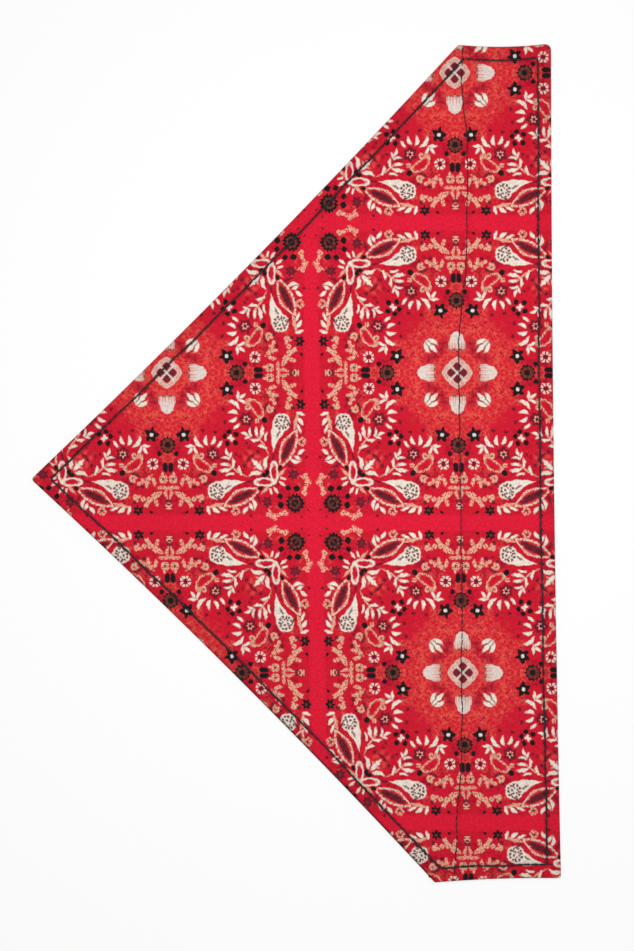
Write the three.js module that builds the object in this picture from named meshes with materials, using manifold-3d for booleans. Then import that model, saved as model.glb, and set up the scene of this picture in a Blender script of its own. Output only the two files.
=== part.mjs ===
// Dog bandana of the over-the-collar type, lying flat with its front up.
// Millimetres, +Z up. The long edge with the collar channel runs along Y on the +X side,
// and the point that hangs on the dog's chest is at -X.
// Two equal cuts of cotton are seamed around, turned and pressed. Each is a wall here.

import * as THREE from "three";
import Module from "manifold-3d";
import { mergeVertices } from "three/addons/utils/BufferGeometryUtils.js";

// ---- Driving dimensions ----

const WALL = 1.0; // thickness of each cloth panel
const SEAM_GAP = 0.3; // clearance between the two panels
const TOPSTITCH_INSET = 6.3; // topstitch line, in from every finished edge
const ALLOWANCE = 9.5; // the turned seam allowance reaches this far in
const ALLOWANCE_RISE = 0.3; // how much the turned allowance lifts the front panel
const STITCH_DIP = 0.15; // how far the topstitch pulls the front panel down
const SIDE_STEPS = 16; // straight steps along each bowed side
const CORNER_STEPS = 4; // straight steps round each corner

// Corners of the finished outline, counter-clockwise from above.
// Each row also gives the radius of its corner, and how far the side that leaves it
// bows outwards at its middle; a side pulled in by its stitching has a negative bow.
const CORNERS = [
  { name: "upper end, inner", x: 74.1, y: 192.5, radius: 2.0, bow: -2.3 },
  { name: "point", x: -122.2, y: -7.1, radius: 1.8, bow: -2.5 },
  { name: "lower end, inner", x: 63.4, y: -192.5, radius: 1.0, bow: -0.7 },
  { name: "lower end, outer", x: 121.4, y: -190.5, radius: 1.4, bow: -1.0 },
  { name: "upper end, outer", x: 116.8, y: 192.9, radius: 3.2, bow: -1.0 },
];

// The channel stitch: a shallow groove from end to end, as x at each height y.
// It wanders a little, as a hand-guided line does.
const CHANNEL_LINE = [
  { y: 196, x: 76.0 },
  { y: 150, x: 76.6 },
  { y: 95, x: 78.0 },
  { y: 40, x: 74.0 },
  { y: -15, x: 75.0 },
  { y: -80, x: 75.2 },
  { y: -140, x: 75.4 },
  { y: -196, x: 72.2 },
];
const GROOVE_WIDTH = 1.6;
const GROOVE_DEPTH = 0.25;

const PRINTED_COTTON = { color: 0xc81a30, roughness: 0.9, metalness: 0.0 };

// ---- Outline ----

// The unit vector that points inwards from the side a-b of a counter-clockwise outline.
function inwardNormal(a, b) {
  return new THREE.Vector2(a.y - b.y, b.x - a.x).normalize();
}

// Corner number k of the outline after every side has moved inwards by inset.
function insetCorner(k, inset) {
  const count = CORNERS.length;
  const here = CORNERS[k];
  const before = inwardNormal(CORNERS[(k + count - 1) % count], here);
  const after = inwardNormal(here, CORNERS[(k + 1) % count]);
  const mitre = before.clone().add(after);
  const reach = inset / mitre.dot(after);
  return new THREE.Vector2(here.x, here.y).addScaledVector(mitre, reach);
}

// The whole outline, moved in by inset, as points that match one for one at every inset.
function outline(inset) {
  const count = CORNERS.length;
  const corners = CORNERS.map((_, k) => insetCorner(k, inset));
  const points = [];
  for (let k = 0; k < count; k++) {
    const here = corners[k];
    const next = corners[(k + 1) % count];
    const previous = corners[(k + count - 1) % count];
    const radius = Math.max(CORNERS[k].radius - inset, 0.2);
    const toPrevious = previous.clone().sub(here).normalize();
    const toNext = next.clone().sub(here).normalize();
    const halfAngle = Math.acos(toPrevious.dot(toNext)) / 2;
    const setBack = radius / Math.tan(halfAngle);
    const arcStart = here.clone().addScaledVector(toPrevious, setBack);
    const arcEnd = here.clone().addScaledVector(toNext, setBack);
    const corner = new THREE.QuadraticBezierCurve(arcStart, here, arcEnd);
    points.push(...corner.getPoints(CORNER_STEPS));

    const nextRadius = Math.max(CORNERS[(k + 1) % count].radius - inset, 0.2);
    const afterNext = corners[(k + 2) % count].clone().sub(next).normalize();
    const nextHalf = Math.acos(afterNext.dot(toNext.clone().negate())) / 2;
    const sideEnd = next.clone().addScaledVector(toNext, -nextRadius / Math.tan(nextHalf));
    const outward = inwardNormal(here, next).negate();
    for (let step = 1; step < SIDE_STEPS; step++) {
      const t = step / SIDE_STEPS;
      const bow = CORNERS[k].bow * 4 * t * (1 - t);
      points.push(arcEnd.clone().lerp(sideEnd, t).addScaledVector(outward, bow));
    }
  }
  return points;
}

// ---- Panels ----

// A closed wall whose two faces are rings of the outline, each face filled in its middle.
// Every row of sections gives the inset of a ring and the heights of both faces there.
function panelGeometry(sections) {
  const rings = sections.map((row) => outline(row.inset));
  const size = rings[0].length;
  const positions = [];
  const triangles = [];
  const faces = ["top", "bottom"];
  faces.forEach((face) => {
    rings.forEach((ring, r) => {
      ring.forEach((point) => positions.push(point.x, point.y, sections[r][face]));
    });
  });
  const vertex = (face, r, k) => (face * rings.length + r) * size + (k % size);

  for (let k = 0; k < size; k++) {
    for (let r = 0; r + 1 < rings.length; r++) {
      const top = [vertex(0, r, k), vertex(0, r, k + 1), vertex(0, r + 1, k), vertex(0, r + 1, k + 1)];
      const low = [vertex(1, r, k), vertex(1, r, k + 1), vertex(1, r + 1, k), vertex(1, r + 1, k + 1)];
      triangles.push(top[0], top[1], top[3], top[0], top[3], top[2]);
      triangles.push(low[0], low[3], low[1], low[0], low[2], low[3]);
    }
    const edge = [vertex(0, 0, k), vertex(0, 0, k + 1), vertex(1, 0, k), vertex(1, 0, k + 1)];
    triangles.push(edge[0], edge[2], edge[3], edge[0], edge[3], edge[1]);
  }

  const last = rings.length - 1;
  THREE.ShapeUtils.triangulateShape(rings[last], []).forEach(([a, b, c]) => {
    triangles.push(vertex(0, last, a), vertex(0, last, b), vertex(0, last, c));
    triangles.push(vertex(1, last, a), vertex(1, last, c), vertex(1, last, b));
  });

  const geometry = new THREE.BufferGeometry();
  geometry.setAttribute("position", new THREE.Float32BufferAttribute(positions, 3));
  geometry.setIndex(triangles);
  return geometry;
}

// The heights of a panel that rests on the table: flat below, rounded over at its edge.
function backSections() {
  const edge = 0.35 * WALL;
  return [
    { inset: 0.0, top: WALL - edge, bottom: edge },
    { inset: 0.3, top: WALL, bottom: 0.1 },
    { inset: 0.8, top: WALL, bottom: 0.0 },
    { inset: ALLOWANCE, top: WALL, bottom: 0.0 },
  ];
}

// The front panel lies over the back one, lifted by the allowance that is turned in
// along the edges, and dips where the topstitch holds it.
function frontSections() {
  const under = WALL + SEAM_GAP;
  const over = under + WALL;
  const lift = (amount) => ({ top: over + amount, bottom: under + amount });
  return [
    { inset: 0.0, top: over - 0.35 * WALL, bottom: under + 0.2 },
    { inset: 0.3, top: over, bottom: under },
    { inset: 1.2, ...lift(ALLOWANCE_RISE) },
    { inset: TOPSTITCH_INSET - 1.2, ...lift(ALLOWANCE_RISE) },
    { inset: TOPSTITCH_INSET, ...lift(ALLOWANCE_RISE - STITCH_DIP) },
    { inset: TOPSTITCH_INSET + 1.2, ...lift(ALLOWANCE_RISE) },
    { inset: ALLOWANCE, ...lift(0) },
  ];
}

// A V-shaped bar along the channel stitch, whose point cuts the groove.
function channelCutter() {
  const top = 2 * WALL + SEAM_GAP;
  const above = 1.0;
  const widen = (GROOVE_WIDTH / 2) * ((above + GROOVE_DEPTH) / GROOVE_DEPTH);
  const positions = [];
  const triangles = [];
  CHANNEL_LINE.forEach(({ x, y }) => {
    positions.push(x, y, top - GROOVE_DEPTH);
    positions.push(x + widen, y, top + above);
    positions.push(x - widen, y, top + above);
  });
  for (let row = 0; row + 1 < CHANNEL_LINE.length; row++) {
    for (let side = 0; side < 3; side++) {
      const a = row * 3 + side;
      const b = row * 3 + ((side + 1) % 3);
      triangles.push(a, b, b + 3, a, b + 3, a + 3);
    }
  }
  const end = (CHANNEL_LINE.length - 1) * 3;
  triangles.push(0, 2, 1, end, end + 1, end + 2);
  const geometry = new THREE.BufferGeometry();
  geometry.setAttribute("position", new THREE.Float32BufferAttribute(positions, 3));
  geometry.setIndex(triangles);
  return geometry;
}

// ---- Boolean cut ----

const wasm = await Module();
wasm.setup();

function toSolid(geometry) {
  const merged = mergeVertices(geometry);
  return new wasm.Manifold(new wasm.Mesh({
    numProp: 3,
    vertProperties: merged.attributes.position.array,
    triVerts: new Uint32Array(merged.index.array),
  }));
}

function toGeometry(solid) {
  const mesh = solid.getMesh();
  const geometry = new THREE.BufferGeometry();
  geometry.setAttribute("position", new THREE.BufferAttribute(mesh.vertProperties, 3));
  geometry.setIndex(new THREE.BufferAttribute(mesh.triVerts, 1));
  return geometry;
}

// ---- Assembly ----

function clothMesh(name, geometry) {
  geometry.computeVertexNormals();
  const mesh = new THREE.Mesh(geometry, new THREE.MeshStandardMaterial(PRINTED_COTTON));
  mesh.name = name;
  return mesh;
}

function makeBackPanel() {
  return clothMesh("back_panel", panelGeometry(backSections()));
}

function makeFrontPanel() {
  const wall = toSolid(panelGeometry(frontSections()));
  return clothMesh("front_panel", toGeometry(wall.subtract(toSolid(channelCutter()))));
}

const bandana = new THREE.Group();
bandana.name = "dog_bandana";
bandana.add(makeBackPanel(), makeFrontPanel());

// The origin is under the middle of the outline's box.
const box = new THREE.Box2().setFromPoints(outline(0));
const middle = box.getCenter(new THREE.Vector2());
bandana.position.set(-middle.x, -middle.y, 0);

export default bandana;
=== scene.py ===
"""A dog bandana of printed cotton, laid flat: two seamed panels, topstitched, with a collar channel."""
import math

import bpy
import numpy as np
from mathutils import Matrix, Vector
from mathutils.geometry import delaunay_2d_cdt


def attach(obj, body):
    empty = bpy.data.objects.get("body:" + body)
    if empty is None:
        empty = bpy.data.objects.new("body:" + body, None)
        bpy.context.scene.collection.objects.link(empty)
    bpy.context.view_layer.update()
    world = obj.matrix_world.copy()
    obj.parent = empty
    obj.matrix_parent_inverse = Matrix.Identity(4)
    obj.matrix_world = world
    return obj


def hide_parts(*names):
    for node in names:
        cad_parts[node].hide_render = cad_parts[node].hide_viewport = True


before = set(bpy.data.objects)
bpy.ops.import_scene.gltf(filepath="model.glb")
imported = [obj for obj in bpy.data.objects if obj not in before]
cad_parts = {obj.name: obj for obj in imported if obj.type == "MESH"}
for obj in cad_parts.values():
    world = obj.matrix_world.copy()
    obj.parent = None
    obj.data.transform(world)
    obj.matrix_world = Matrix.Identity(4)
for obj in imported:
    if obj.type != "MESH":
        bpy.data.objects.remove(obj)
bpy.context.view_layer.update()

MM = 0.001
rng = np.random.default_rng(11)

# ---------------------------------------------------------------- sizes, mm
# The cut, counter-clockwise from above: x, y, corner radius, bow of the side that leaves it.
CORNERS = [
    (74.1, 192.5, 2.0, -2.3),  # upper end, inner
    (-122.2, -7.1, 1.8, -2.5),  # point
    (63.4, -192.5, 1.0, -0.7),  # lower end, inner
    (121.4, -190.5, 1.4, -1.0),  # lower end, outer
    (116.8, 192.9, 3.2, -1.0),  # upper end, outer
]
LOWER_SLANT = 1  # the side whose rim turns away from the light, and gets painted shade
# The line that closes off the collar channel: y, x.
CHANNEL_LINE = [
    (-196, 72.2), (-178, 73.1), (-155, 74.2), (-128, 76.0), (-81, 75.7), (-55, 76.0), (-18, 75.4), (18, 74.8),
    (56, 74.3), (72, 75.7), (93, 78.1), (121, 78.5), (151, 78.0), (159, 77.1), (175, 75.6), (196, 76.5),
]
STITCH_INSET = 6.3  # from the edge to the topstitch
ALLOWANCE = 9.5  # width of the seam allowance pressed inside
SEAM_LEVEL = 1.15  # where the two panels meet at the rim
FRONT_LEVEL = 2.3  # top of the front panel in the middle
ALLOWANCE_RISE = 0.28
RIM_RADIUS = 1.4
STITCH_TROUGH, STITCH_HALF = 0.5, 0.95  # depth and half width of the dip along the topstitch
CHANNEL_TROUGH, CHANNEL_HALF = 0.36, 0.8
BACK_SOFTNESS = 0.45  # how much of the relief the back keeps where it lies on the table
INNER_INSET, INNER_GAP = 0.5, 0.15  # the hidden inner face: its inset, and its height from the seam
EDGE_STEP = 1.25  # spacing of the points round the edge
FIELD_STEP = 1.75  # spacing of the points in the middle
RINGS = [0, 0.12, 0.35, 0.7, 1.1, 1.6, 2.3, 3.1, 3.9, 4.6, 5.2, 5.6, 6.0, 6.3, 6.6, 7.0, 7.4, 8.1, 8.9,
         9.4, 9.9, 10.5, 12.0]  # insets of the rings of points that shape the edge
CORNER_STEPS = 5
STITCH, CHANNEL_STITCH = 3.6, 3.1  # length of one stitch with its gap

# Soft creases: from x, y to x, y, half width, height (below zero is a trough).
CREASES = [
    (-60, 30, 20, 70, 16, 0.35), (-40, -60, 30, -95, 14, -0.3), (20, -130, 66, -150, 9, 0.4),
    (40, 150, 66, 120, 10, -0.3), (-95, -15, -50, -5, 12, 0.35), (10, 20, 60, 35, 18, -0.25),
    (95, -150, 92, -60, 9, 0.4), (98, 40, 96, 130, 8, 0.4), (60, -40, 40, -10, 12, 0.25),
    (85, 165, 104, 160, 5, -0.3), (84, -20, 108, -28, 6, -0.25), (84, -120, 106, -112, 5, 0.25),
]


# ---------------------------------------------------------------- shape
def inward(a, b):
    """The unit normal of the side from a to b that points into the cloth."""
    n = np.array([a[1] - b[1], b[0] - a[0]])
    return n / np.hypot(*n)


def outline(inset):
    """The cut drawn in by inset: points, and which side each one belongs to."""
    count = len(CORNERS)
    at = np.array([c[:2] for c in CORNERS])
    corners, arcs = [], []
    for k in range(count):
        before, after = inward(at[k - 1], at[k]), inward(at[k], at[(k + 1) % count])
        mitre = before + after
        corners.append(at[k] + mitre * inset / (mitre @ after))
    for k in range(count):
        here, last, following = corners[k], corners[k - 1], corners[(k + 1) % count]
        to_last, to_next = last - here, following - here
        to_last, to_next = to_last / np.hypot(*to_last), to_next / np.hypot(*to_next)
        half = math.acos(np.clip(to_last @ to_next, -1, 1)) / 2
        back = max(CORNERS[k][2] - inset, 0.2) / math.tan(half)
        start, end = here + to_last * back, here + to_next * back
        t = np.linspace(0, 1, CORNER_STEPS + 1)[:, None]
        arcs.append(start * (1 - t) ** 2 + here * 2 * t * (1 - t) + end * t**2)
    points, sides = [], []
    for k in range(count):
        start, end = arcs[k][-1], arcs[(k + 1) % count][0]
        steps = SIDE_STEPS[k]
        t = (np.arange(1, steps) / steps)[:, None]
        side = start + (end - start) * t - inward(start, end) * CORNERS[k][3] * 4 * t * (1 - t)
        points += [arcs[k], side]
        sides += [np.full(len(arcs[k]) + len(side), k)]
    return np.vstack(points), np.concatenate(sides)


SIDE_STEPS = [
    round(math.dist(CORNERS[k][:2], CORNERS[(k + 1) % len(CORNERS)][:2]) / EDGE_STEP)
    for k in range(len(CORNERS))
]
edge_points, edge_side = outline(0)
MIDDLE = (edge_points.min(0) + edge_points.max(0)) / 2


def along(points):
    """Distance round a closed line of points."""
    return np.concatenate([[0], np.cumsum(np.hypot(*(np.diff(points, axis=0)).T))])


def ring(inset):
    """The cut drawn in by inset, about the middle of the cloth."""
    return outline(inset)[0] - MIDDLE


edge_run = along(ring(STITCH_INSET))
LATTICE = rng.uniform(-1, 1, 4096)


def wander(run, scale, seed=0):
    """Smooth random numbers from -1 to 1 along a length."""
    u = np.asarray(run, float) / scale + seed * 37.3
    i = np.floor(u).astype(int)
    f = u - i
    f = f * f * (3 - 2 * f)
    return LATTICE[i % len(LATTICE)] * (1 - f) + LATTICE[(i + 1) % len(LATTICE)] * f


def ripple(x, y, scale, seed=0):
    """Smooth random heights from -1 to 1 over the cloth."""
    u, v = x / scale + 50 + seed, y / scale + 50 + seed
    i, j = np.floor(u).astype(int), np.floor(v).astype(int)
    f, g = u - i, v - j
    f, g = f * f * (3 - 2 * f), g * g * (3 - 2 * g)

    def row(b):
        left, right = (LATTICE[(a * 61 + b * 997) % len(LATTICE)] for a in (i, i + 1))
        return left * (1 - f) + right * f

    return row(j) * (1 - g) + row(j + 1) * g


def bell(distance, width):
    """A smooth bump: 1 at no distance, and nearly 0 two widths away."""
    return np.exp(-((distance / width) ** 2))


def channel(y):
    """Where the channel's stitch line crosses the height y."""
    return np.interp(y, *zip(*CHANNEL_LINE)) + 0.35 * wander(y + 300, 7, 3)


def stitch_inset(run):
    """How far in from the edge the topstitch lies, as it wanders."""
    return STITCH_INSET + 0.28 * wander(run, 17, 5)


def relief(x, y, inset, run):
    """Height of the cloth's face over its flat level: allowance, troughs, puckers and creases."""
    h = ALLOWANCE_RISE * np.clip((ALLOWANCE + 0.5 - inset) / 1.1, 0, 1)
    off = inset - stitch_inset(run)
    h -= STITCH_TROUGH * bell(off, STITCH_HALF)
    h -= 0.10 * np.cos(2 * math.pi * run / STITCH) * bell(off, 1.5)
    h += 0.20 * wander(run, 3.1, 1) * bell(off - 2.2, 2.8) * np.clip(inset / 2, 0, 1)
    h += 0.16 * wander(run, 6.7, 2) * bell(off, 5)
    across = x - channel(y)
    h -= CHANNEL_TROUGH * bell(across, CHANNEL_HALF)
    h += 0.15 * wander(y + 300, 4.3, 4) * bell(np.abs(across) - 2.2, 2.4)
    for x0, y0, x1, y1, half, height in CREASES:
        ex, ey = x1 - x0, y1 - y0
        t = np.clip(((x - x0) * ex + (y - y0) * ey) / (ex * ex + ey * ey), -0.1, 1.1)
        h += height * bell(np.hypot(x - x0 - ex * t, y - y0 - ey * t), half) * np.clip(inset / 9, 0, 1)
    h += 0.14 * ripple(x, y, 15) + 0.07 * ripple(x, y, 6, 9)
    return h


def level(x, y, inset, run, face):
    """Height of a panel's face. face is 1 for the front and -1 for the back, which lies on the table."""
    rise = np.sqrt(np.clip(1 - (1 - np.clip(inset, 0, RIM_RADIUS) / RIM_RADIUS) ** 2, 0, 1))
    h = relief(x, y, inset, run)
    if face > 0:
        return SEAM_LEVEL + (FRONT_LEVEL - SEAM_LEVEL + h) * rise
    dip = np.clip(-BACK_SOFTNESS * (h - ALLOWANCE_RISE * (inset < ALLOWANCE)), 0, 0.5)
    return SEAM_LEVEL + (dip - SEAM_LEVEL) * rise


def linked(name, mesh):
    """A new object of that mesh in the scene."""
    obj = bpy.data.objects.new(name, mesh)
    bpy.context.scene.collection.objects.link(obj)
    return obj


def field_points(boundary):
    """Points in rows over the middle, kept a little inside the boundary."""
    step = FIELD_STEP
    xs, ys = np.arange(-125, 125, step), np.arange(-195, 195, step * 0.87)
    gx, gy = np.meshgrid(xs, ys)
    gx = gx + (np.arange(len(ys)) % 2)[:, None] * step / 2
    p = np.column_stack([gx.ravel(), gy.ravel()])
    inside = np.zeros(len(p), bool)
    a, b = boundary, np.roll(boundary, -1, 0)
    for (x0, y0), (x1, y1) in zip(a, b):
        if y0 != y1:
            crossing = (y0 > p[:, 1]) != (y1 > p[:, 1])
            inside ^= crossing & (p[:, 0] < (x1 - x0) * (p[:, 1] - y0) / (y1 - y0) + x0)
    return p[inside]


def nearest_on(line, points):
    """For each point, the nearest of every second point on the line, and how far off it is."""
    near, gap = np.empty(len(points), int), np.empty(len(points))
    for s in range(0, len(points), 2000):
        batch = slice(s, s + 2000)
        d = np.hypot(points[batch, None, 0] - line[None, ::2, 0], points[batch, None, 1] - line[None, ::2, 1])
        near[batch], gap[batch] = d.argmin(1) * 2, d.min(1)
    return near, gap


def fill(points, loop_length, first):
    """Triangles over points whose first ones run round the boundary; first is the number of the first point."""
    loop = [(k, (k + 1) % loop_length) for k in range(loop_length)]
    made = delaunay_2d_cdt([Vector(p) for p in points], loop, [], 1, 1e-6)
    return [tuple(made[3][v][0] + first for v in t) for t in made[2]]


def painted_shade(flat, inset, run):
    """How light the cloth is painted at each point: painted shade in the topstitch trough, on the margin
    outside it, along the channel's trough and on the turned rim of the lower slant, which faces away from the
    light.
    """
    off = inset - stitch_inset(run)
    # painted shade: the margin outside the topstitch and the topstitch trough are darkened
    dark = 0.075 * np.clip((5.8 - inset) / 1.2, 0, 1) + 0.30 * bell(off, 0.85)
    # painted shade along the trough of the channel's stitch line
    dark += 0.10 * bell(flat[:, 0] - channel(flat[:, 1]) - 0.9, 1.3)
    # painted shade on the rim of the lower slant, darkest towards its lower end, where it turns away from the
    # light
    low = np.clip((flat[:, 0] + 40) / 50, 0, 1) * np.clip((68 - flat[:, 0]) / 6, 0, 1)
    side = np.tile(edge_side, len(RINGS))
    lower = np.zeros(len(flat))
    lower[: len(side)] = side == LOWER_SLANT
    dark += (0.25 + 0.5 * low) * lower * np.clip(1 - (inset - 0.35) / 0.8, 0, 1)
    return np.clip(1 - dark, 0, 1)


def bake_map(mesh, flat, shown):
    """The map for baking: the shown face turned by 45 degrees to fill the square, the inner face small."""
    turn = np.column_stack([flat[:, 0] - flat[:, 1], flat[:, 0] + flat[:, 1]]) / math.sqrt(2)
    low_corner, high_corner = turn.min(0), turn.max(0)
    turn = (turn - low_corner) / (high_corner - low_corner).max() * 0.98 + 0.01
    vertex_of = np.empty(len(mesh.loops), int)
    mesh.loops.foreach_get("vertex_index", vertex_of)
    starts = np.empty(len(mesh.polygons), int)
    mesh.polygons.foreach_get("loop_start", starts)
    coords = turn[vertex_of]
    coords[starts[shown]:] = coords[starts[shown]:] * 0.12 + 0.85
    mesh.uv_layers.new(name="OFBake").data.foreach_set("uv", coords.ravel())


def panel(name, face):
    """One closed panel: its shown face in rings and a field, and a plain inner face."""
    rings = [ring(i) for i in RINGS]
    n = len(rings[0])
    field = field_points(rings[-1])
    near, gap = nearest_on(rings[-1], field)
    keep = gap > FIELD_STEP * 0.55
    field, near, gap = field[keep], near[keep], gap[keep]
    flat = np.vstack(rings + [field])
    inset = np.concatenate([np.full(n, float(i)) for i in RINGS] + [RINGS[-1] + gap])
    run = np.concatenate([edge_run] * len(RINGS) + [edge_run[near]])
    z = level(flat[:, 0], flat[:, 1], inset, run, face)
    faces = []
    for r in range(len(RINGS) - 1):
        for k in range(n):
            a, b = r * n + k, r * n + (k + 1) % n
            faces.append((a, b, b + n, a + n))
    first = (len(RINGS) - 1) * n
    faces += fill(flat[first:], n, first)
    shown = len(faces)
    # the inner face, which touches nothing and is never seen
    lining = ring(INNER_INSET)[::2]
    m, base = len(lining), len(flat)
    flat = np.vstack([flat, lining])
    z = np.concatenate([z, np.full(m, SEAM_LEVEL + INNER_GAP * face)])
    inset = np.concatenate([inset, np.full(m, INNER_INSET)])
    run = np.concatenate([run, edge_run[::2]])
    for k in range(m):
        edge = [2 * k, min(2 * k + 1, n - 1), (2 * k + 2) % n if 2 * k + 2 < n else 0]
        edge = [v for i, v in enumerate(edge) if v not in edge[:i]]
        faces.append((base + k, base + (k + 1) % m, *reversed(edge)))
    faces += [tuple(reversed(t)) for t in fill(lining, m, base)]
    if face < 0:
        faces = [tuple(reversed(f)) for f in faces]
    mesh = bpy.data.meshes.new(name)
    mesh.from_pydata(np.column_stack([flat, z]) * MM, [], faces)
    mesh.update()
    mesh.shade_smooth()
    # the painted shade is stored as a per-point attribute that darkens the cloth colour
    mesh.attributes.new("shade", "FLOAT", "POINT").data.foreach_set("value", painted_shade(flat, inset, run))
    bake_map(mesh, flat, shown)
    return linked(name, mesh)


# ---------------------------------------------------------------- stitches
def capsule(centre, direction, length, radius, vertices, faces, around=8, steps=8):
    """One stitch: a rounded bead of thread that bows up in the middle and dips at its ends."""
    side = np.array([-direction[1], direction[0], 0])
    up = np.array([0, 0, 1.0])
    base = len(vertices)
    for i in range(steps + 1):
        t = i / steps * 2 - 1
        r = radius * max(1 - abs(t) ** 3.2, 0.02) ** 0.5
        c = centre + direction * (t * length / 2) + up * (0.16 * (1 - t * t) - 0.10)
        for k in range(around):
            g = 2 * math.pi * k / around
            vertices.append(c + side * (math.cos(g) * r) + up * (math.sin(g) * r * 0.75))
    for i in range(steps):
        for k in range(around):
            a, b = base + i * around + k, base + i * around + (k + 1) % around
            faces.append((a, b, b + around, a + around))
    faces.append(tuple(base + k for k in reversed(range(around))))
    faces.append(tuple(base + steps * around + k for k in range(around)))


def sew(name, path, heights, width, pitch, fill, extras=()):
    """Stitches laid end to end along a path of flat points."""
    run = along(path)
    count = round(run[-1] / pitch)
    vertices, faces = [], []
    for k in range(count):
        s = (k + 0.5) / count * run[-1]
        long = pitch * fill * rng.uniform(0.93, 1.05)
        ends = [np.array([np.interp(s + d, run, path[:, 0]), np.interp(s + d, run, path[:, 1])])
                for d in (-pitch / 2.2, pitch / 2.2)]
        step = ends[1] - ends[0]
        step = step / np.hypot(*step)
        lean = rng.normal(0, 0.07)
        direction = np.array([step[0] - lean * step[1], step[1] + lean * step[0], 0])
        centre = np.array([*(ends[0] + ends[1]) / 2, np.interp(s, run, heights)])
        centre[:2] += rng.normal(0, 0.05, 2)
        capsule(centre, direction, long, width / 2 * rng.uniform(0.88, 1.1), vertices, faces)
    for x, y, z, size in extras:
        capsule(np.array([x, y, z]), np.array([0.6, 0.8, 0]), size * 1.3, size / 2, vertices, faces)
    mesh = bpy.data.meshes.new(name)
    mesh.from_pydata(np.array(vertices) * MM, [], faces)
    mesh.shade_smooth()
    return linked(name, mesh)


# ---------------------------------------------------------------- colours
def colour(r, g, b):
    """A colour from its usual 0 to 255 numbers."""
    parts = (r / 255, g / 255, b / 255)
    return tuple(c / 12.92 if c <= 0.04045 else ((c + 0.055) / 1.055) ** 2.4 for c in parts) + (1,)


RED, GROUND = colour(231, 27, 56), colour(214, 24, 48)
DARK_RED, ORANGE = colour(160, 8, 42), colour(240, 88, 74)
MAROON, PEACH = colour(108, 26, 46), colour(238, 182, 154)
CREAM, PINK = colour(246, 234, 218), colour(234, 178, 172)
BLACK, BEAD = colour(30, 24, 28), colour(244, 212, 190)
SHELL, ROSETTE, BROWN = colour(234, 216, 206), colour(228, 198, 182), colour(138, 60, 48)


# ---------------------------------------------------------------- shader arithmetic
class Value:
    """A number in a shader, which can be added, multiplied and compared."""

    tree = None

    def __init__(self, socket):
        self.socket = socket

    def __add__(self, o): return math_node("ADD", self, o)
    def __radd__(self, o): return math_node("ADD", o, self)
    def __sub__(self, o): return math_node("SUBTRACT", self, o)
    def __rsub__(self, o): return math_node("SUBTRACT", o, self)
    def __mul__(self, o): return math_node("MULTIPLY", self, o)
    def __rmul__(self, o): return math_node("MULTIPLY", o, self)
    def min(self, o): return math_node("MINIMUM", self, o)
    def max(self, o): return math_node("MAXIMUM", self, o)


def feed(socket, value):
    """Joins a socket to a value, or sets it to a plain number or vector."""
    if isinstance(value, Value):
        Value.tree.links.new(value.socket, socket)
    else:
        socket.default_value = value


def math_node(operation, *values, clamp=False):
    node = Value.tree.nodes.new("ShaderNodeMath")
    node.operation, node.use_clamp = operation, clamp
    for socket, value in zip(node.inputs, values):
        feed(socket, value)
    return Value(node.outputs[0])


def vector_node(operation, a, b):
    node = Value.tree.nodes.new("ShaderNodeVectorMath")
    node.operation = operation
    feed(node.inputs[0], a)
    feed(node.inputs[1], b)
    return Value(node.outputs["Value" if operation in ("DOT_PRODUCT", "DISTANCE") else "Vector"])


def vector(x, y, z):
    node = Value.tree.nodes.new("ShaderNodeCombineXYZ")
    for socket, value in zip(node.inputs, (x, y, z)):
        feed(socket, value)
    return Value(node.outputs[0])


def noise(at, scale, detail=1.0, rough=0.5, colour_out=False):
    """Smooth random values, or random colours, over the cloth."""
    node = Value.tree.nodes.new("ShaderNodeTexNoise")
    node.noise_dimensions = "3D"
    feed(node.inputs["Vector"], at)
    node.inputs["Scale"].default_value = scale
    node.inputs["Detail"].default_value = detail
    node.inputs["Roughness"].default_value = rough
    return Value(node.outputs["Color" if colour_out else "Fac"])


def fade(d, soft=0.22):
    """1 inside a shape, where d is below zero, and 0 outside."""
    return math_node("MULTIPLY_ADD", d, -0.5 / soft, 0.5, clamp=True)


def mix(under, over, factor):
    node = Value.tree.nodes.new("ShaderNodeMix")
    node.data_type = "RGBA"
    feed(node.inputs["Factor"], factor)
    feed(node.inputs[6], under)
    feed(node.inputs[7], over)
    return Value(node.outputs[2])


def leaf(p, x0, y0, x1, y1, width, bend=0.0, pointed=False):
    """Distance to an oval from one end to the other; bend arches it sideways, in half widths."""
    cx, cy, ux, uy = (x0 + x1) / 2, (y0 + y1) / 2, x1 - x0, y1 - y0
    long = math.hypot(ux, uy)
    ux, uy, half, w = ux / long, uy / long, long / 2 + width * 0.12, width / 2
    qx = vector_node("DOT_PRODUCT", p, (ux / half, uy / half, -(cx * ux + cy * uy) / half))
    qy = vector_node("DOT_PRODUCT", p, (-uy / w, ux / w, (cx * uy - cy * ux) / w))
    square = qx * qx
    if bend:
        qy = math_node("MULTIPLY_ADD", square, bend, qy)
    if pointed:
        return math_node("MULTIPLY_ADD", math_node("ABSOLUTE", qy) + square, w, -w)
    return math_node("MULTIPLY_ADD", math_node("MULTIPLY_ADD", qy, qy, square), w / 2, -w / 2)


def spot(p, x, y, radius):
    """Distance to a round spot."""
    return vector_node("DISTANCE", p, (x, y, 1)) - radius


def separate(v):
    """The x and y of a vector."""
    split = Value.tree.nodes.new("ShaderNodeSeparateXYZ")
    feed(split.inputs[0], v)
    return Value(split.outputs[0]), Value(split.outputs[1])


def bearing(p, x, y):
    """The direction of a place as seen from x, y."""
    dx, dy = separate(vector_node("SUBTRACT", p, (x, y, 1)))
    return math_node("ARCTAN2", dy, dx)


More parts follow.
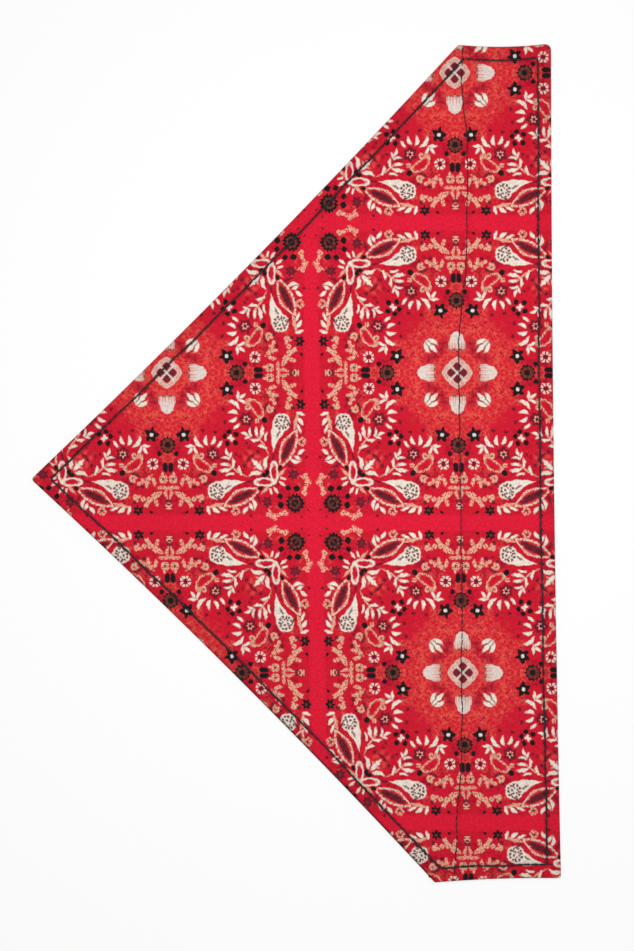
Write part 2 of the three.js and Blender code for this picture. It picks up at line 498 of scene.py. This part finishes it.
def petals(p, x, y, radius, count, depth, turn=0.0):
    """Distance to a flower with that many round petals."""
    angle = bearing(p, x, y)
    wave = math_node("COSINE", math_node("MULTIPLY_ADD", angle, float(count), turn))
    reach = math_node("MULTIPLY_ADD", wave, -radius * depth, -radius * (1 - depth))
    return vector_node("DISTANCE", p, (x, y, 1)) + reach


def teardrop(p, x0, y0, x1, y1, radius, bow):
    """Distance to a drop with its tip at x0, y0 and a round head at x1, y1; its middle bows aside."""
    long = math.hypot(x1 - x0, y1 - y0)
    ux, uy = (x1 - x0) / long, (y1 - y0) / long
    t = vector_node("DOT_PRODUCT", p, (ux / long, uy / long, -(x0 * ux + y0 * uy) / long))
    aside = vector_node("DOT_PRODUCT", p, (-uy, ux, x0 * uy - y0 * ux))
    aside = aside + (t - t * t) * (4 * bow)
    cone = math_node("MULTIPLY_ADD", t, -radius, math_node("ABSOLUTE", aside))
    return cone.max((t - 1.0) * long).min(spot(p, x1, y1, radius))


def beads(p, x, y, radius, count, half):
    """Distance to a ring of that many beads."""
    wave = math_node("COSINE", bearing(p, x, y) * float(count))
    gaps = math_node("MULTIPLY_ADD", wave, half, -half * 0.3)
    return outlined(vector_node("DISTANCE", p, (x, y, 1)) - radius, half).max(gaps)


def union(shapes):
    """The nearest of several shapes."""
    whole = None
    for d in shapes:
        whole = d if whole is None else whole.min(d)
    return whole


def leaves(p, table):
    return [leaf(p, *row) for row in table]


def spots(p, table):
    return [spot(p, *row) for row in table]


def ramp(value, gain, offset):
    """value times gain plus offset, kept from 0 to 1."""
    return math_node("MULTIPLY_ADD", value, gain, offset, clamp=True)


def outlined(d, half):
    """A line of that half width along the edge of a shape."""
    return math_node("ABSOLUTE", d) - half


# ---------------------------------------------------------------- the print
# One repeat is a tile with eight-fold symmetry; the motifs are placed in one eighth of it, where x runs
# from the tile's middle to its plain red border at 69 and y from its axis to its diagonal.
HALF_X, HALF_Y, HALF = 66.75, 68.9, 69.0
BAND_AT = (8.1, -27.3)  # where two plain borders cross on the cloth
BORDER = 65.2  # where the plain border starts
SUNBURST = 27.5  # reach of the orange field
PAISLEY_HEAD, TARGET, DAISY = (54.3, 22.9), (37.5, 21.4), (42, 7.2)

# leaves: x0, y0, x1, y1, width, bend
PEACH_LEAVES = [
    (60, 27, 61.5, 19, 1.3, -0.9), (47.5, 36, 43, 29.5, 0.8, 0.6), (58, 1.4, 52.8, 1.2, 1.3, -1.2),
    (52.8, 1, 52.9, 5, 1.4, 0.4), (55, 3.5, 56.3, 7.6, 1.5, 0.3), (55.5, 3.5, 58.7, 9, 1.3, 0.8),
    (58.7, 9, 62, 11.3, 1.4, -0.3), (58.5, 6, 60.9, 5.6, 1.4, 0), (48.5, 7.2, 51.5, 6.2, 1.5, -0.4),
    (51, 49, 55, 44.3, 1.1, -0.9), (47.2, 8.2, 50.2, 11.8, 1, 0.6), (63.6, 47.2, 65.9, 50.2, 1.2, -0.8),
]
CREAM_LEAVES = [
    (30, 12.4, 34.6, 15.6, 1.8, -0.9), (29.4, 17.6, 33.4, 18.2, 1.7, -0.9),
    (29.9, 22.6, 32.9, 21.2, 1.7, 0.3), (31.8, 25.7, 34.2, 23.8, 1.6, 0.3),
    (33.6, 8.5, 33.8, 12.7, 1.5, 0), (34.6, 11.6, 37.3, 9.9, 1.5, 0.2),
    (34.6, 12.4, 37.3, 13.9, 1.4, -0.2), (14.6, 14.6, 9.9, 9.9, 2.3, 0),
    (15.4, 13.9, 13.6, 9.4, 1.9, 0.5), (46.8, 27.7, 46.2, 31, 1.5, 0.4),
    (45.5, 24.7, 44.5, 29.8, 1.6, -0.7), (41.9, 25.2, 42.3, 28.9, 1.6, 0.3),
    (39.8, 31.3, 43.8, 30.8, 1.4, 0.6), (43.2, 33.2, 47, 34.7, 1.3, -0.5),
    (35.2, 27.5, 38.3, 28.6, 1.4, -0.3), (38.9, 25.9, 39.4, 29, 1.3, 0.3), (37, 30.1, 39.5, 29.2, 1.1, 0),
    (61.5, 18.2, 64.8, 19.2, 1.6, -0.3), (62.2, 21, 64.6, 23.7, 1.6, -0.3),
    (61.8, 24, 63.3, 27.2, 1.5, -0.3), (64.3, 35.3, 62, 37.5, 1.6, 0.4), (60.3, 38.5, 62.9, 39.7, 1.4, 0),
    (58.3, 40.4, 62.6, 41.5, 1.5, 0.9), (40.3, 40.3, 44.6, 44.6, 2.2, 0),
    (46.7, 38.8, 45.6, 43.8, 1.8, 0.5), (53.5, 48.2, 55.8, 48.9, 1.2, 0), (53, 50.3, 55.2, 51.8, 1.2, 0),
    (51.8, 46.8, 52.2, 49, 0.9, 0),
]
PINK_LEAVES = [
    (43.7, 40.8, 43.2, 44.6, 1.4, 0.4),
]
MAROON_LEAVES = [
    (59.8, 29, 54.4, 40.2, 3.4, 0.1), (59.6, 1.2, 58.8, -1.2, 1, 0), (14.9, 13.9, 11.9, 10.1, 0.55, 0),
    (37.5, 39.5, 41.5, 37.2, 1.3, 0.4), (47.4, 13.5, 46, 17.5, 1.2, 0.5), (57.2, 22, 59.3, 26, 1.1, 0.4),
    (55.6, 41.8, 60.2, 44, 1, 0.5), (49.5, 40.5, 50.4, 37, 1.2, 0),
]
BLACK_LEAVES = [
    (41.5, 1.3, 45.5, 1.3, 2.6, 0), (47, 44.3, 47, 47.6, 2, 0), (53.2, 42.6, 53.2, 44.6, 1.6, 0),
]
ORANGE_LEAVES = [
    (24, 12, 30, 14, 3), (44, 6, 47, 20, 2.6), (38, 36, 46, 41, 2.4), (60, 44, 63, 57, 2.4),
]
# spots: x, y, radius
PEACH_SPOTS = [
    (58.3, 9.5, 0.95), (58.3, 12, 0.95), (61, 10.8, 0.9), (57.2, 14.3, 1), (58.5, 15.4, 1.1),
    (57, 16, 0.9), (48.8, 9, 0.8), (50.7, 10, 0.85), (52.3, 10.4, 0.8), (49.8, 12.3, 0.9), (51, 14, 0.9),
    (48, 15.8, 1), (49.5, 16.7, 1.1), (48.3, 17.5, 0.9), (65, 47.2, 0.85), (66, 48.5, 0.8),
    (65.5, 50, 0.8), (67, 50.4, 0.7), (65.5, 51.8, 0.85), (64.7, 53.3, 0.85), (64.3, 54.8, 0.9),
    (65, 55.8, 0.8), (49, 2.3, 1.9), (46.5, 2.5, 0.8), (42.8, 22.1, 0.9), (38.2, 16, 1.2),
    (63.7, 31.7, 1.9), (61.4, 0, 1.5),
]
MAROON_SPOTS = [
    (26.8, 16.8, 0.8), (27.2, 22.8, 0.8), (37.4, 32.3, 0.7), (42.6, 36.4, 0.8), (52.6, 12.2, 1),
    (54.5, 20, 0.7), (51.9, 22.5, 0.55), (56.1, 21.8, 0.6), (52, 24.6, 0.6), (54.6, 25, 0.6),
    (53, 27.2, 0.5), (66.2, 63, 0.6), (65.7, 39, 0.8), (49, 2.3, 0.7), (63.7, 31.7, 0.6), (51, 17.5, 0.8),
    (38.2, 16, 0.45), (59.6, 16.2, 0.8),
]
BLACK_SPOTS = [
    (37.3, 4, 1.3), (46.2, 21.7, 1.3), (57, 53, 1.35), (60.8, 53.3, 1.45), (64.2, 8.4, 0.8),
    (37.5, 21.4, 0.8),
]
ORANGE_SPOTS = [(39.3, 0, 3.4), (28, 1, 3), (58, 19, 2)]
BLUSH_SPOTS = [(13.2, 6.6, 1.9), (10.4, 7.6, 1.7), (46, 11, 1.5), (40, 27, 2), (50, 20, 1.5)]
CLUSTER_SPOTS = [(32.4, 28.2, 1.25), (29.2, 27.2, 1.1), (32.2, 32.2, 1.3)]
# flowers and medallions with dark petals: x, y, radius, petals, depth of the petals, turn
BLACK_FLOWERS = [
    (33.2, 0, 3.9, 12, 0.09, 0), (60, 60, 4.5, 14, 0.1, 0), (28.6, 7.5, 3.7, 5, 0.24, 2.2),
    (63.3, 14.6, 2.5, 6, 0.2, 0),
]
MAROON_FLOWERS = [(59.5, 46.8, 2.8, 7, 0.2, 0), (0, 0, 4.9, 4, 0.17, 0)]


def print_colour(place):
    """The colour of the print at a place on the flat cloth, in mm."""
    x, y = separate(place)
    row = math_node("MULTIPLY_ADD", y, -1 / (2 * HALF), BAND_AT[1] / (2 * HALF))
    lean = row * math_node("MULTIPLY_ADD", row, 0.69, 2.58)
    across = (x - BAND_AT[0] - lean) * (1 / HALF_X)
    down = (y - BAND_AT[1]) * (1 / HALF_Y)
    fx = math_node("PINGPONG", across, 1.0) * -HALF + HALF
    fy = math_node("PINGPONG", down, 1.0) * -HALF + HALF
    a, b = fx.max(fy), fx.min(fy)
    tile = vector(a, b, 1.0)
    # the hand of the printer: every edge wavers a little
    waver = vector_node("SUBTRACT", noise(tile, 0.55, colour_out=True), (0.5, 0.5, 0.5))
    p = vector_node("ADD", tile, vector_node("MULTIPLY", waver, (1.5, 1.5, 0)))
    field, fleck = noise(tile, 0.30, 2.5, 0.62), noise(tile, 0.85)
    streak, grain = noise(tile, 0.75, 3.0, 0.75), noise(tile, 1.25, 1.0, 0.6)

    inside = fade(a - BORDER, 0.7)
    base = mix(RED, GROUND, inside)
    # dark shading between the motifs, and the feathery orange sunburst round the rosette
    base = mix(base, DARK_RED, ramp(field, 7.0, -3.75) * inside * 0.75)
    centre = vector_node("DISTANCE", p, (0, 0, 1))
    burst = math_node("MULTIPLY_ADD", field, -16.0, 8.0) + centre - SUNBURST
    base = mix(base, ORANGE, fade(burst, 4.5) * ramp(streak, 6.5, -2.75) * ramp(field, 2.4, -0.3))
    base = mix(base, DARK_RED, fade(union(spots(p, BLUSH_SPOTS)), 1.3) * 0.85)
    patch = union(spots(p, ORANGE_SPOTS) + leaves(p, ORANGE_LEAVES))
    base = mix(base, ORANGE, fade(patch, 0.9) * ramp(streak, 5.0, -2.2))

    # paler inks: garlands, the small loop, the almond, the shells, the rosette's ring, leaves and paisleys
    target_eye = petals(p, *TARGET, 1.3, 6, 0.1)
    loop = leaf(p, 39.7, 12.4, 45.3, 19.4, 4.4, -0.45)
    rings = [outlined(loop, 0.3), outlined(target_eye, 0.35)]
    peach = union(leaves(p, PEACH_LEAVES) + spots(p, PEACH_SPOTS) + rings)
    base = mix(base, PEACH, fade(peach - 0.12) * ramp(grain, 7.0, -2.5))
    base = mix(base, PINK, fade(union(leaves(p, PINK_LEAVES))) * 0.7)
    almond = leaf(p, 60.7, 27.0, 53.5, 42.2, 6.2, 0.1, True)
    base = mix(base, ORANGE, fade(almond + 0.9, 0.5) * 0.45)
    shell = leaf(p, 8.0, 0, 17.9, 0, 7.8).max(10.4 - a)
    ribs = math_node("MULTIPLY_ADD", math_node("SINE", b * 5.0), 0.25, 0.6) + ramp(a, 0.16, -1.9)
    base = mix(base, SHELL, fade(shell) * ribs)
    rosette_ring = outlined(petals(p, 0, 0, 7.2, 4, 0.09) + 1.2, 1.15)
    base = mix(base, ROSETTE, fade(rosette_ring) * ramp(grain, 3.0, -0.6))
    base = mix(base, BEAD, fade(outlined(almond, 0.5)) * ramp(grain, 4.0, -1.1))
    paisley = teardrop(p, 50.0, 36.2, *PAISLEY_HEAD, 4.2, 0.85)
    long_petal = leaf(p, 50.3, 41.6, 50.3, 49.6, 3.6)
    cream = union(leaves(p, CREAM_LEAVES) + [paisley, outlined(long_petal, 0.32)])
    base = mix(base, CREAM, fade(cream) * ramp(fleck, 1.2, 0.45))

    # darker inks
    seeds = [beads(p, *PAISLEY_HEAD, 2.9, 11, 0.5), beads(p, 54.2, 23.2, 1.3, 5, 0.42),
             leaf(p, 52.9, 26.6, 51.8, 29.6, 0.8)]
    rims = [outlined(petals(p, *TARGET, 2.9, 6, 0.2), 0.75), outlined(spot(p, 59.6, 0, 1.2), 0.3)]
    flowers = [petals(p, *row) for row in MAROON_FLOWERS] + [spot(p, *DAISY, 1.1)]
    maroon = union(leaves(p, MAROON_LEAVES) + spots(p, MAROON_SPOTS) + flowers + seeds + rims)
    base = mix(base, MAROON, fade(maroon) * 0.93)
    base = mix(base, BLACK, fade(almond + 1.7) * ramp(grain, 8.0, -4.2))
    flowers = [petals(p, *row) for row in BLACK_FLOWERS]
    black = union(leaves(p, BLACK_LEAVES) + spots(p, BLACK_SPOTS + CLUSTER_SPOTS) + flowers)
    base = mix(base, BLACK, fade(black))

    # small marks on the dark inks
    marks = union([beads(p, *DAISY, 2.0, 8, 0.6), spot(p, 28.6, 7.5, 0.85), petals(p, 30.2, 30.2, 1.7, 4, 0.3),
                   leaf(p, 0.5, 0.5, 3.0, 3.0, 0.7), spot(p, 0, 0, 0.8)])
    base = mix(base, CREAM, fade(marks) * 0.92)
    brown = union([outlined(spot(p, 33.2, 0, 2.1), 0.7), outlined(spot(p, 60, 60, 2.2), 0.6),
                   spot(p, 63.3, 14.6, 0.8), spot(p, 60, 60, 0.7), spot(p, 59.5, 46.8, 0.7),
                   leaf(p, 56.8, 56.8, 63, 63, 0.6), leaf(p, 10.7, 0, 10.7, 4.2, 1.0)])
    return mix(base, BROWN, fade(brown) * ramp(fleck, 3.0, -0.9))


def cloth_material():
    material = bpy.data.materials.new("printed_cotton_look")
    material.use_nodes = True
    tree = material.node_tree
    Value.tree = tree
    shader = tree.nodes["Principled BSDF"]
    coord = tree.nodes.new("ShaderNodeTexCoord")
    place = vector_node("MULTIPLY", Value(coord.outputs["Object"]), (1000, 1000, 0))
    ink = print_colour(place)
    # the weave shows as a fine speckle, and the seams, margin and lower rim get painted shade from the shade
    # attribute
    speckle, drift = noise(place, 0.78, 1.0, 0.6), noise(place, 0.02)
    attribute = tree.nodes.new("ShaderNodeAttribute")
    attribute.attribute_name = "shade"
    tone = math_node("MULTIPLY_ADD", speckle, 0.62, 0.69) * Value(attribute.outputs["Fac"])
    tone = tone * math_node("MULTIPLY_ADD", drift, 0.16, 0.92)
    final = vector_node("MULTIPLY", ink, vector(tone, tone, tone))
    tree.links.new(final.socket, shader.inputs["Base Color"])
    thread_x = tree.nodes.new("ShaderNodeTexWave")
    thread_x.bands_direction = "X"
    thread_y = tree.nodes.new("ShaderNodeTexWave")
    thread_y.bands_direction = "Y"
    for wave in (thread_x, thread_y):
        feed(wave.inputs["Vector"], place)
        wave.inputs["Scale"].default_value = 0.62
        wave.inputs["Distortion"].default_value = 0.6
        wave.inputs["Detail"].default_value = 1.0
    weave = Value(thread_x.outputs["Fac"]) * Value(thread_y.outputs["Fac"]) + speckle * 0.9
    bump = tree.nodes.new("ShaderNodeBump")
    bump.inputs["Distance"].default_value = 0.00016
    bump.inputs["Strength"].default_value = 0.7
    tree.links.new(weave.socket, bump.inputs["Height"])
    tree.links.new(bump.outputs[0], shader.inputs["Normal"])
    shader.inputs["Roughness"].default_value = 0.88
    shader.inputs["Specular IOR Level"].default_value = 0.12
    shader.inputs["Sheen Weight"].default_value = 0.06
    shader.inputs["Sheen Roughness"].default_value = 0.5
    return material


def thread_material(name, dark, light):
    """Sewing thread: dark, with a twist of finer strands."""
    material = bpy.data.materials.new(name)
    material.use_nodes = True
    tree = material.node_tree
    Value.tree = tree
    shader = tree.nodes["Principled BSDF"]
    coord = tree.nodes.new("ShaderNodeTexCoord")
    place = vector_node("MULTIPLY", Value(coord.outputs["Object"]), (1000, 1000, 1000))
    strands = noise(place, 1.1, 2.0, 0.7)
    feed(shader.inputs["Base Color"], mix(dark, light, ramp(strands, 2.4, -0.8)))
    shader.inputs["Roughness"].default_value = 0.62
    shader.inputs["Specular IOR Level"].default_value = 0.3
    return material


# ---------------------------------------------------------------- the pieces
cotton = cloth_material()
black_thread = thread_material("topstitch_thread", colour(24, 18, 24), colour(58, 42, 52))
brown_thread = thread_material("channel_thread", colour(48, 12, 24), colour(92, 20, 36))

front = panel("front_cloth", 1)
back = panel("back_cloth", -1)

# the topstitch follows the ring at its own wandering inset
REACH = 0.5  # how far the wandering inset may stray
inset_at = stitch_inset(edge_run)
near_rings = np.array([ring(i) for i in np.linspace(STITCH_INSET - REACH, STITCH_INSET + REACH, 5)])
which = (inset_at - STITCH_INSET + REACH) * (len(near_rings) - 1) / (2 * REACH)
lower_ring = np.clip(np.floor(which).astype(int), 0, len(near_rings) - 2)
part = (which - lower_ring)[:, None]
index = np.arange(len(edge_run))
topline = near_rings[lower_ring, index] * (1 - part) + near_rings[lower_ring + 1, index] * part
top_z, under_z = (level(topline[:, 0], topline[:, 1], inset_at, edge_run, face) for face in (1, -1))
KNOT = (61.3, -189.6, 1.6, 1.4)  # x, y, z and size of the thread end at the lower inner corner
topstitch = sew("topstitch_front", topline, top_z + 0.14, 0.95, STITCH, 1.12, [KNOT])
topstitch_back = sew("topstitch_back", topline, under_z + 0.30, 0.6, STITCH, 0.86)

# the channel's line runs from one short end to the other
LINE_ENDS, EDGE_ENDS = (-189.0, 191.0), (-191.5, 192.6)
line_y = np.linspace(*LINE_ENDS, 400)
line_x = channel(line_y)
to_edge = np.minimum(line_y - EDGE_ENDS[0], EDGE_ENDS[1] - line_y).clip(1.4, 60)
line_inset = np.where(to_edge < RINGS[-1], to_edge, 20)
line = np.column_stack([line_x, line_y])
line_z, back_z = (level(line_x, line_y, line_inset, np.zeros(len(line)), face) for face in (1, -1))
channel_stitch = sew("channel_stitch_front", line, line_z + 0.14, 0.58, CHANNEL_STITCH, 1.18)
channel_back = sew("channel_stitch_back", line, back_z + 0.28, 0.45, CHANNEL_STITCH, 0.85)

for piece, node in ((front, "front_panel"), (back, "back_panel")):
    piece.data.materials.append(cotton)
    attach(piece, "root")
    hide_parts(node)
for piece, look in ((topstitch, black_thread), (topstitch_back, black_thread),
                    (channel_stitch, brown_thread), (channel_back, brown_thread)):
    piece.data.materials.append(look)
    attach(piece, "root")

# ---------------------------------------------------------------- floor, light, camera
bpy.ops.mesh.primitive_plane_add(size=6, location=(0, 0, -0.00005))
floor = bpy.context.object
floor.name = "floor"
floor_look = bpy.data.materials.new("pale_floor")
floor_look.use_nodes = True
tree = Value.tree = floor_look.node_tree
tree.nodes.clear()
output = tree.nodes.new("ShaderNodeOutputMaterial")
# what lights the cloth, what shows the shadow, and what makes the ground pale
plain, lit, glow = (tree.nodes.new("ShaderNodeBsdfDiffuse"), tree.nodes.new("ShaderNodeBsdfDiffuse"),
                    tree.nodes.new("ShaderNodeEmission"))
plain.inputs["Color"].default_value = (0.80, 0.80, 0.80, 1)
lit.inputs["Color"].default_value = (0.22, 0.22, 0.22, 1)
glow.inputs["Color"].default_value = (1, 1, 1, 1)
glow.inputs["Strength"].default_value = 0.79
both = tree.nodes.new("ShaderNodeAddShader")
choose = tree.nodes.new("ShaderNodeMixShader")
path = tree.nodes.new("ShaderNodeLightPath")
seen = Value(path.outputs["Is Camera Ray"]).max(Value(path.outputs["Is Glossy Ray"])).max(
    Value(path.outputs["Is Transmission Ray"]))
tree.links.new(lit.outputs[0], both.inputs[0])
tree.links.new(glow.outputs[0], both.inputs[1])
tree.links.new(seen.socket, choose.inputs[0])
tree.links.new(plain.outputs[0], choose.inputs[1])
tree.links.new(both.outputs[0], choose.inputs[2])
tree.links.new(choose.outputs[0], output.inputs[0])
floor.data.materials.append(floor_look)

world = bpy.data.worlds.new("studio")
bpy.context.scene.world = world
world.use_nodes = True
background = world.node_tree.nodes["Background"]
background.inputs["Color"].default_value = (1, 1, 1, 1)
background.inputs["Strength"].default_value = 0.42

lamp = bpy.data.lights.new("softbox", "AREA")
lamp.shape, lamp.size, lamp.energy = "DISK", 0.30, 1.5
softbox = bpy.data.objects.new("softbox", lamp)
softbox.location = (0.06, 0.06, 0.48)
aim = Vector((0.015, 0.02, 0)) - softbox.location
softbox.rotation_euler = aim.to_track_quat("-Z", "Y").to_euler()
bpy.context.scene.collection.objects.link(softbox)

DISTANCE, FRAME_HEIGHT = 1.5, 0.4375  # metres from camera to table, and of table that the frame spans
SENSOR = 36
camera_data = bpy.data.cameras.new("camera")
camera_data.sensor_width = SENSOR
camera_data.lens = SENSOR * DISTANCE / FRAME_HEIGHT
camera = bpy.data.objects.new("camera", camera_data)
camera.location = (0.0093, -0.0056, DISTANCE)
bpy.context.scene.collection.objects.link(camera)
bpy.context.scene.camera = camera
bpy.context.scene.view_settings.view_transform = "Standard"

bpy.context.view_layer.update()
